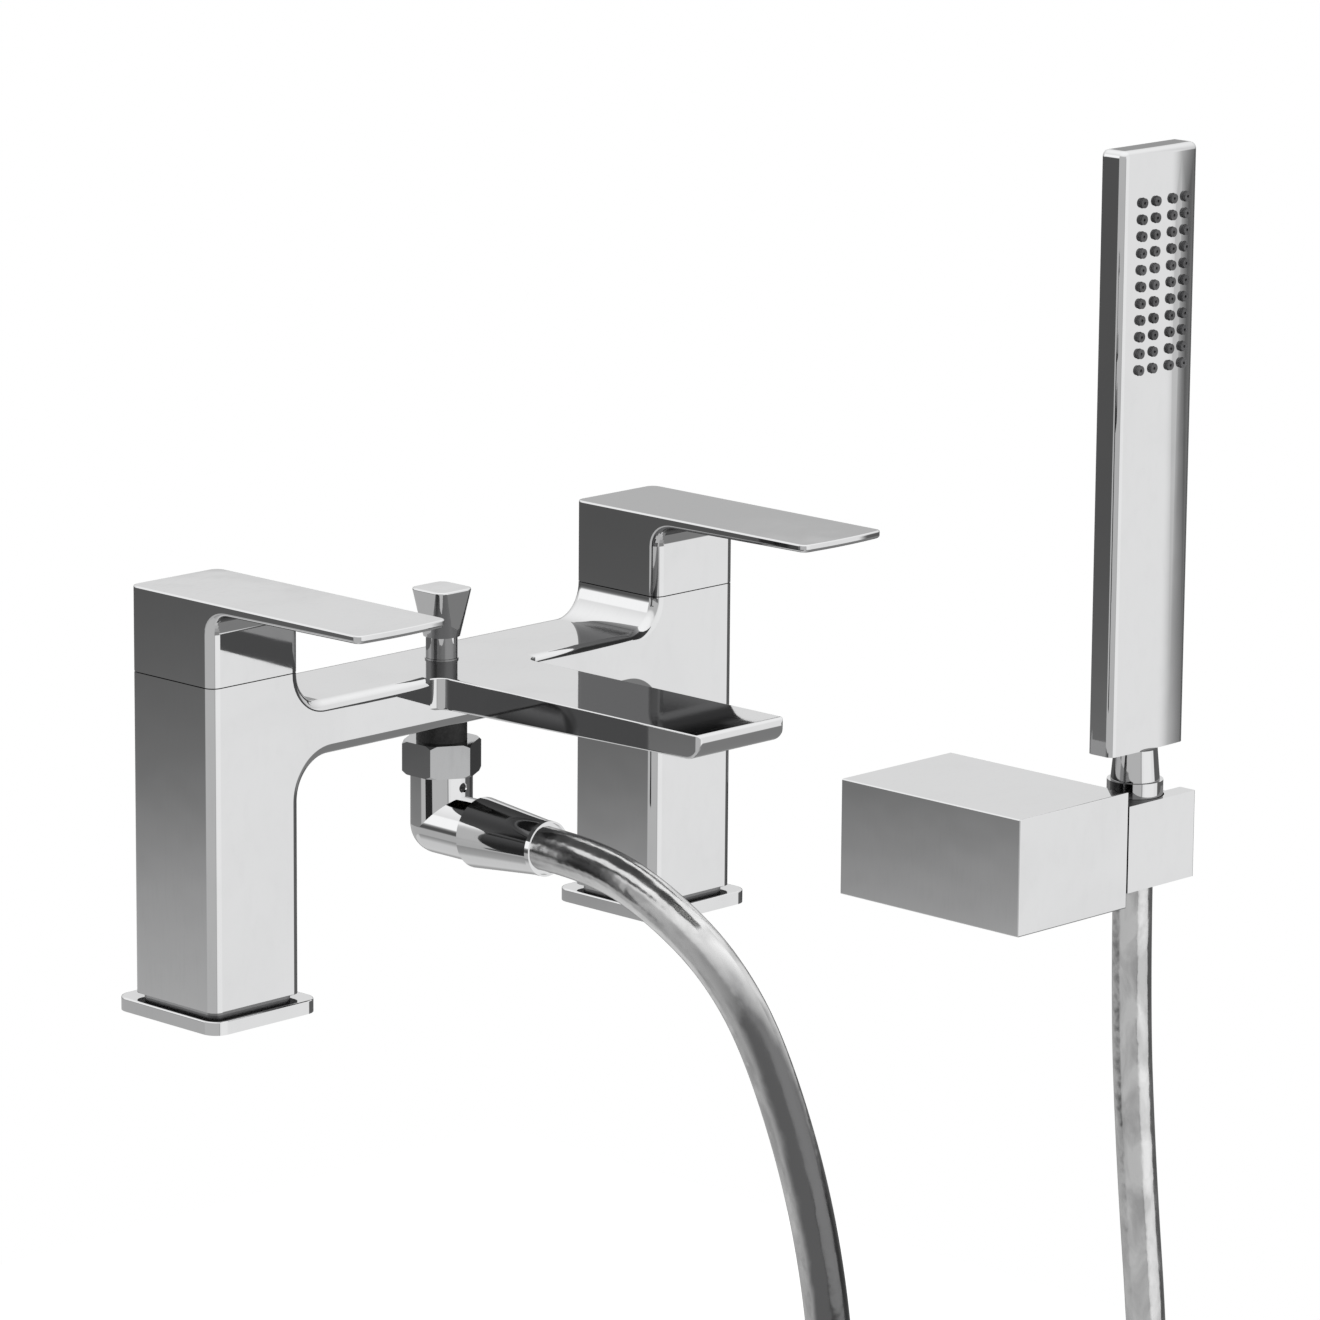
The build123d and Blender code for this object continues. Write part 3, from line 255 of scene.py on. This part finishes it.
def tube(name, path, radius, sides, material):
    """A circle carried along a path: point = path(t) + radius * (cos a * side + sin a * across).

    Its attribute "lee" is the cosine between the skin's normal and the way the painted shade side faces; the
    hose skin paints shade from it.
    Its UV map runs once round the tube, and in metres along it."""
    side, across = frames_along(path)
    around = np.linspace(0.0, 2.0 * math.pi, sides, endpoint=False)[None, :, None]
    ring = np.cos(around) * side[:, None, :] + np.sin(around) * across[:, None, :]
    points = (path[:, None, :] + radius * ring).reshape(-1, 3)
    count = len(path)
    along = np.arange(count - 1)[:, None]
    turn = np.arange(sides)[None, :]
    following = (turn + 1) % sides
    corners = np.stack(
        [
            along * sides + turn,
            along * sides + following,
            (along + 1) * sides + following,
            (along + 1) * sides + turn,
        ],
        axis=-1,
    ).reshape(-1, 4)
    steps = np.linalg.norm(np.diff(path, axis=0), axis=1)
    length = np.concatenate([[0.0], np.cumsum(steps)])
    v_low = np.broadcast_to(length[:-1, None], (count - 1, sides))
    v_high = np.broadcast_to(length[1:, None], (count - 1, sides))
    u_low = np.broadcast_to(turn / sides, (count - 1, sides))
    u_high = np.broadcast_to((turn + 1) / sides, (count - 1, sides))
    uv = np.stack(
        [
            np.stack([u_low, v_low], axis=-1),
            np.stack([u_high, v_low], axis=-1),
            np.stack([u_high, v_high], axis=-1),
            np.stack([u_low, v_high], axis=-1),
        ],
        axis=2,
    ).reshape(-1, 2)
    piece = add_mesh(name, points, corners, material, uv)
    # painted shade: how far each point of the skin faces the way the hose is painted darker
    lee = piece.data.attributes.new("lee", "FLOAT", "POINT")
    lee.data.foreach_set("value", (ring.reshape(-1, 3) @ np.array(painted_shade_side)).ravel())
    return piece


# Shader nodes
FLOAT, COLOUR, VECTOR = "NodeSocketFloat", "NodeSocketColor", "NodeSocketVector"


def new_material(name):
    """A new node material, its node tree and its Principled shader."""
    material = bpy.data.materials.new(name)
    material.use_nodes = True
    tree = material.node_tree
    return material, tree, tree.nodes["Principled BSDF"]


def new_group(name, inputs, outputs):
    """A shader node group with named sockets, and its input and output nodes."""
    group = bpy.data.node_groups.new(name, "ShaderNodeTree")
    for label, kind, value in inputs:
        socket = group.interface.new_socket(label, in_out="INPUT", socket_type=kind)
        if value is not None:
            socket.default_value = value
    for label, kind in outputs:
        group.interface.new_socket(label, in_out="OUTPUT", socket_type=kind)
    return group, group.nodes.new("NodeGroupInput"), group.nodes.new("NodeGroupOutput")


def add_node(tree, kind, links=None, **values):
    """A node with its settings, and its sockets, by name or number, each given a value or a link."""
    node = tree.nodes.new(kind)
    for name, value in values.items():
        setattr(node, name, value)
    for socket, source in (links or {}).items():
        if isinstance(source, bpy.types.NodeSocket):
            tree.links.new(source, node.inputs[socket])
        else:
            node.inputs[socket].default_value = source
    return node


def math_node(tree, operation, first, second=0.0, third=0.0):
    """The result of a Math node."""
    return add_node(tree, "ShaderNodeMath", {0: first, 1: second, 2: third}, operation=operation).outputs[0]


def mixed_colour(tree, share, first, second):
    """The first colour where the share is 0 and the second where it is 1."""
    return add_node(tree, "ShaderNodeMix", {0: share, 6: first, 7: second}, data_type="RGBA").outputs[2]


def noise(tree, vector, scale, detail, distortion=0.0):
    """The height of a noise texture."""
    links = {"Vector": vector, "Scale": scale, "Detail": detail, "Distortion": distortion}
    return add_node(tree, "ShaderNodeTexNoise", links).outputs[0]


def stretched(tree, vector, scale):
    """Coordinates scaled by a different amount along each axis."""
    return add_node(tree, "ShaderNodeMapping", {"Vector": vector, "Scale": scale}).outputs[0]


def bumped(tree, strength, distance, height):
    """The normal of a surface with a height laid on it."""
    links = {"Strength": strength, "Distance": distance, "Height": height}
    return add_node(tree, "ShaderNodeBump", links).outputs[0]


def span(tree, value, low, high, start=0.0, end=1.0):
    """A value taken smoothly from low..high to start..end."""
    node = add_node(
        tree,
        "ShaderNodeMapRange",
        {"Value": value, "From Min": low, "From Max": high, "To Min": start, "To Max": end},
        interpolation_type="SMOOTHSTEP",
    )
    return node.outputs["Result"]


def ramp(tree, value, stops):
    """A ramp of greys, from stops that are each a place and a grey."""
    node = add_node(tree, "ShaderNodeValToRGB", {0: value})
    elements = node.color_ramp.elements
    while len(elements) < len(stops):
        elements.new(0.5)
    for element, (place, grey) in zip(elements, stops):
        element.position = place
        element.color = (grey, grey, grey, 1.0)
    return node.outputs["Color"]


def surface(tree, shader, colour, roughness, normal):
    """The Principled shader's three main links."""
    tree.links.new(colour, shader.inputs["Base Color"])
    tree.links.new(roughness, shader.inputs["Roughness"])
    tree.links.new(normal, shader.inputs["Normal"])


def smudge_group():
    """Finger smudges and fine wiping marks: soft noise over stretched noise, 0 clean to 1 smudged."""
    group, given, out = new_group(
        "smudges",
        [("Vector", VECTOR, None), ("Scale", FLOAT, 30.0), ("Clean", FLOAT, 0.04), ("Smudged", FLOAT, 0.12)],
        [("Roughness", FLOAT), ("Mask", FLOAT)],
    )
    where, clean = given.outputs["Vector"], given.outputs["Clean"]
    broad = noise(group, where, given.outputs["Scale"], smudge_detail, smudge_distortion)
    fine = noise(group, stretched(group, where, wiped_scale), 1.0, wiped_detail)
    soft = span(group, broad, *smudge_range)
    lines = span(group, fine, *wiped_range)
    mask = math_node(
        group, "MULTIPLY_ADD", lines, wiped_share, math_node(group, "MULTIPLY", soft, smudge_share)
    )
    gap = math_node(group, "SUBTRACT", given.outputs["Smudged"], clean)
    group.links.new(math_node(group, "MULTIPLY_ADD", mask, gap, clean), out.inputs["Roughness"])
    group.links.new(mask, out.inputs["Mask"])
    return group


def grain_group():
    """Fine even grain: a tint between two colours, a roughness between two values and a height."""
    group, given, out = new_group(
        "grain",
        [
            ("Vector", VECTOR, None),
            ("Scale", FLOAT, 900.0),
            ("Stretch", VECTOR, (1.0, 1.0, 1.0)),
            ("Dark", COLOUR, (0.1, 0.1, 0.1, 1.0)),
            ("Light", COLOUR, (0.2, 0.2, 0.2, 1.0)),
            ("Low", FLOAT, 0.4),
            ("High", FLOAT, 0.6),
        ],
        [("Colour", COLOUR), ("Roughness", FLOAT), ("Height", FLOAT)],
    )
    where, low = given.outputs["Vector"], given.outputs["Low"]
    along = stretched(group, where, given.outputs["Stretch"])
    fine = noise(group, along, given.outputs["Scale"], grain_detail)
    broad = noise(group, where, cloud_scale, cloud_detail)
    both = math_node(
        group, "MULTIPLY_ADD", broad, cloud_share, math_node(group, "MULTIPLY", fine, grain_share)
    )
    spread = span(group, both, *grain_range)
    tint = mixed_colour(group, spread, given.outputs["Dark"], given.outputs["Light"])
    gap = math_node(group, "SUBTRACT", given.outputs["High"], low)
    group.links.new(tint, out.inputs["Colour"])
    group.links.new(math_node(group, "MULTIPLY_ADD", spread, gap, low), out.inputs["Roughness"])
    group.links.new(fine, out.inputs["Height"])
    return group


smudges = smudge_group()
grain = grain_group()


# Materials
def plated(name, clean_colour, marked_colour, clean, smudged, scale=26.0, wave=0.02):
    """Bright plating: a mirror with faint smudges that dull and darken it, and a barely uneven face.

    Where another mirror shows it, its colour is painted darker, a painted dark reflection, and it is
    blurred."""
    material, tree, shader = new_material(name)
    where = add_node(tree, "ShaderNodeTexCoord").outputs["Object"]
    links = {"Vector": where, "Scale": scale, "Clean": clean, "Smudged": smudged}
    marks = add_node(tree, "ShaderNodeGroup", links, node_tree=smudges)
    tint = mixed_colour(tree, marks.outputs["Mask"], (*clean_colour, 1.0), (*marked_colour, 1.0))
    waves = noise(tree, where, face_wave_scale, face_wave_detail)
    # painted reflection: glossy rays see a darker, rougher plating
    mirrored = add_node(tree, "ShaderNodeLightPath").outputs["Is Glossy Ray"]
    seen = mixed_colour(tree, mirrored, tint, painted_dark_reflection)
    rough = add_node(
        tree, "ShaderNodeMix", {0: mirrored, 2: marks.outputs["Roughness"], 3: painted_dark_reflection_rough}
    )
    surface(tree, shader, seen, rough.outputs[0], bumped(tree, wave, bump_distance, waves))
    shader.inputs["Metallic"].default_value = 1.0
    return material


def grained(name, dark, light, low, high, scale, strength, metallic=0.0, stretch=(1.0, 1.0, 1.0)):
    """Moulded, turned or lapped stuff: grain in its colour, its roughness and its height."""
    material, tree, shader = new_material(name)
    where = add_node(tree, "ShaderNodeTexCoord").outputs["Object"]
    links = {
        "Vector": where,
        "Scale": scale,
        "Stretch": stretch,
        "Dark": (*dark, 1.0),
        "Light": (*light, 1.0),
        "Low": low,
        "High": high,
    }
    body = add_node(tree, "ShaderNodeGroup", links, node_tree=grain)
    normal = bumped(tree, strength, grain_distance, body.outputs["Height"])
    surface(tree, shader, body.outputs["Colour"], body.outputs["Roughness"], normal)
    shader.inputs["Metallic"].default_value = metallic
    return material


def hose_material():
    """Silver hose skin: a plain side and a side with painted shade, with a ragged edge between them,
    blotches and long fine wrinkles.
    """
    material, tree, shader = new_material("hose_silver_skin")
    uv = add_node(tree, "ShaderNodeTexCoord").outputs["UV"]
    along = add_node(tree, "ShaderNodeSeparateXYZ", {0: uv}).outputs[1]
    lee = add_node(tree, "ShaderNodeAttribute", attribute_name="lee").outputs["Fac"]
    blotches = noise(tree, stretched(tree, uv, blotch_scale), 1.0, blotch_detail, blotch_distortion)
    # painted shade: a darker colour on the side the lee attribute faces, with a ragged edge, fading out
    # along the hose
    lee_less_half = math_node(tree, "ADD", lee, -painted_shade_ragged / 2.0)
    ragged = math_node(tree, "MULTIPLY_ADD", blotches, painted_shade_ragged, lee_less_half)
    fade = span(tree, along, painted_shade_from, painted_shade_to, 1.0, 0.0)
    shade = math_node(tree, "MULTIPLY", span(tree, ragged, *painted_shade_edge), fade)
    colour = mixed_colour(tree, shade, ramp(tree, blotches, blotch_greys), painted_shade_colour)
    rough = span(tree, blotches, *blotch_range, *skin_roughness)
    wrinkles = noise(tree, stretched(tree, uv, wrinkle_scale), 1.0, wrinkle_detail)
    surface(tree, shader, colour, rough, bumped(tree, wrinkle_strength, bump_distance, wrinkles))
    shader.inputs["Metallic"].default_value = 1.0
    shader.inputs["Coat Weight"].default_value = skin_coat
    shader.inputs["Coat Roughness"].default_value = skin_coat_roughness
    return material


# The record's slots, and the material of each
finishes = {
    "chrome": plated(
        "polished_chrome",
        clean_colour=(0.72, 0.722, 0.726),
        marked_colour=(0.69, 0.692, 0.696),
        clean=0.025,
        smudged=0.06,
        wave=0.012,
    ),
    "brass": grained(
        "turned_brass",
        dark=(0.55, 0.41, 0.17),
        light=(0.72, 0.58, 0.30),
        low=0.22,
        high=0.38,
        scale=700.0,
        strength=0.15,
        metallic=1.0,
        stretch=(1.0, 1.0, 9.0),
    ),
    "rubber_black": grained(
        "black_rubber",
        dark=(0.014, 0.014, 0.015),
        light=(0.035, 0.035, 0.036),
        low=0.5,
        high=0.72,
        scale=1400.0,
        strength=0.25,
    ),
    "ceramic": grained(
        "lapped_ceramic",
        dark=(0.80, 0.79, 0.76),
        light=(0.90, 0.89, 0.87),
        low=0.10,
        high=0.2,
        scale=500.0,
        strength=0.03,
    ),
    "steel": grained(
        "machined_steel",
        dark=(0.48, 0.48, 0.49),
        light=(0.62, 0.62, 0.63),
        low=0.22,
        high=0.36,
        scale=600.0,
        strength=0.12,
        metallic=1.0,
        stretch=(1.0, 9.0, 1.0),
    ),
    "plastic": grained(
        "moulded_plastic",
        dark=(0.60, 0.60, 0.58),
        light=(0.74, 0.74, 0.72),
        low=0.4,
        high=0.55,
        scale=800.0,
        strength=0.1,
    ),
    "hose_skin": hose_material(),
    "nozzle_rubber": grained(
        "nozzle_rubber",
        dark=(0.05, 0.05, 0.052),
        light=(0.11, 0.11, 0.113),
        low=0.3,
        high=0.45,
        scale=1600.0,
        strength=0.2,
    ),
}
# painted shade: a darker copy of the chrome for the union nut, which sits in shade under the bridge and
# spout
chrome_painted_shade_of_nut = plated(
    "chrome_painted_shade_union_nut",
    clean_colour=(0.44, 0.443, 0.447),
    marked_colour=(0.38, 0.383, 0.387),
    clean=0.05,
    smudged=0.1,
)
blackened = grained(
    "blackened_screw",
    dark=(0.02, 0.02, 0.02),
    light=(0.05, 0.05, 0.05),
    low=0.4,
    high=0.55,
    scale=900.0,
    strength=0.1,
    metallic=0.5,
)
own_finishes = {
    "diverter_cage": blackened,
    "elbow_grub_screw": blackened,
    "outlet_union_nut": chrome_painted_shade_of_nut,
}


def dress_nodes():
    """Each CAD node gets the material of its slot in the record, or its own."""
    for name, node in nodes.items():
        for slot in node.material_slots:
            label = slot.material.name.split(".")[0]
            slot.material = own_finishes.get(name, finishes.get(label, finishes["chrome"]))
    for name in unreflected:
        nodes[name].visible_glossy = False


def make_hose():
    """The hose along its route, and the end of it that slides out of the holder with the handset."""
    skin = finishes["hose_skin"]
    hose_path = curve_points("hose_line", hose_route, hose_steps)
    hose = tube("hose", hose_path, hose_radius, hose_sides, skin)
    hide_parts("shower_hose")
    hose.visible_glossy = False
    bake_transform(hose)
    from_top = np.cumsum(np.linalg.norm(np.diff(hose_path[::-1], axis=0), axis=1))
    sleeve_points = int(np.searchsorted(from_top, sleeve_length)) + 2
    sleeve = tube("hose_end_sleeve", hose_path[-sleeve_points:], sleeve_radius, hose_sides, skin)
    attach(sleeve, "hose_top")


def make_world():
    """White for the camera; for everything else the dome's grey with the panels laid over it in order."""
    world = bpy.data.worlds.new("studio")
    bpy.context.scene.world = world
    world.use_nodes = True
    tree = world.node_tree
    tree.nodes.clear()
    direction = add_node(tree, "ShaderNodeTexCoord").outputs["Generated"]
    split = add_node(tree, "ShaderNodeSeparateXYZ", {0: direction})
    turn = math_node(tree, "ARCTAN2", split.outputs[1], split.outputs[0])
    rise = math_node(tree, "ARCSINE", split.outputs[2])
    azimuth = math_node(tree, "MULTIPLY", turn, 180.0 / math.pi)
    elevation = math_node(tree, "MULTIPLY", rise, 180.0 / math.pi)
    height = math_node(tree, "MULTIPLY_ADD", elevation, 1.0 / 180.0, 0.5)
    grey = ramp(tree, height, [(degrees / 180.0 + 0.5, value) for degrees, value in dome_stops])
    for _, left, right, side_soft, low, high, end_soft, value in studio_panels:
        middle, half = (left + right) / 2.0, (right - left) / 2.0
        off_middle = math_node(tree, "WRAP", math_node(tree, "SUBTRACT", azimuth, middle), -180.0, 180.0)
        away = math_node(tree, "ABSOLUTE", off_middle)
        across = span(tree, away, half - side_soft / 2.0, half + side_soft / 2.0, 1.0, 0.0)
        above = span(tree, elevation, low - end_soft / 2.0, low + end_soft / 2.0)
        below = span(tree, elevation, high - end_soft / 2.0, high + end_soft / 2.0, 1.0, 0.0)
        mask = math_node(tree, "MULTIPLY", across, math_node(tree, "MULTIPLY", above, below))
        grey = mixed_colour(tree, mask, grey, (value, value, value, 1.0))
    seen = add_node(tree, "ShaderNodeLightPath").outputs["Is Camera Ray"]
    shown = mixed_colour(tree, seen, grey, white)
    background = add_node(tree, "ShaderNodeBackground", {"Color": shown, "Strength": 1.0})
    add_node(tree, "ShaderNodeOutputWorld", {"Surface": background.outputs[0]})


def make_floor():
    """A pale floor under the hose: near white to the camera, with the object's soft shadow kept."""
    material, tree, _ = new_material("pale_floor")
    tree.nodes.clear()
    paper = add_node(tree, "ShaderNodeBsdfDiffuse", {"Color": floor_colour})
    glow = add_node(tree, "ShaderNodeEmission", {"Color": white, "Strength": floor_glow})
    seen = add_node(tree, "ShaderNodeLightPath").outputs["Is Camera Ray"]
    glowing = math_node(tree, "MULTIPLY", seen, floor_glow_share)
    blend = add_node(tree, "ShaderNodeMixShader", {0: glowing, 1: paper.outputs[0], 2: glow.outputs[0]})
    add_node(tree, "ShaderNodeOutputMaterial", {"Surface": blend.outputs[0]})
    corners = [(-1.0, -1.0), (1.0, -1.0), (1.0, 1.0), (-1.0, 1.0)]
    points = np.array([(floor_half * x, floor_half * y, floor_height) for x, y in corners])
    floor = add_mesh("floor", points, np.array([(0, 1, 2, 3)]), material)
    floor.visible_glossy = False


def make_lamp():
    """One wide soft lamp high up between the camera and the mixer, aimed at the origin."""
    data = bpy.data.lights.new("soft_lamp", "AREA")
    data.shape = "DISK"
    data.size = lamp_size
    data.energy = lamp_power
    lamp = bpy.data.objects.new("soft_lamp", data)
    lamp.location = lamp_place
    aim = -np.array(lamp_place)
    lamp.rotation_euler = (
        math.atan2(math.hypot(aim[0], aim[1]), -aim[2]),
        0.0,
        math.atan2(aim[1], aim[0]) - math.pi / 2.0,
    )
    lamp.visible_glossy = False
    bpy.context.scene.collection.objects.link(lamp)


make_camera()
dress_nodes()
make_hose()
make_world()
make_floor()
make_lamp()
bpy.context.scene.view_settings.view_transform = "Standard"

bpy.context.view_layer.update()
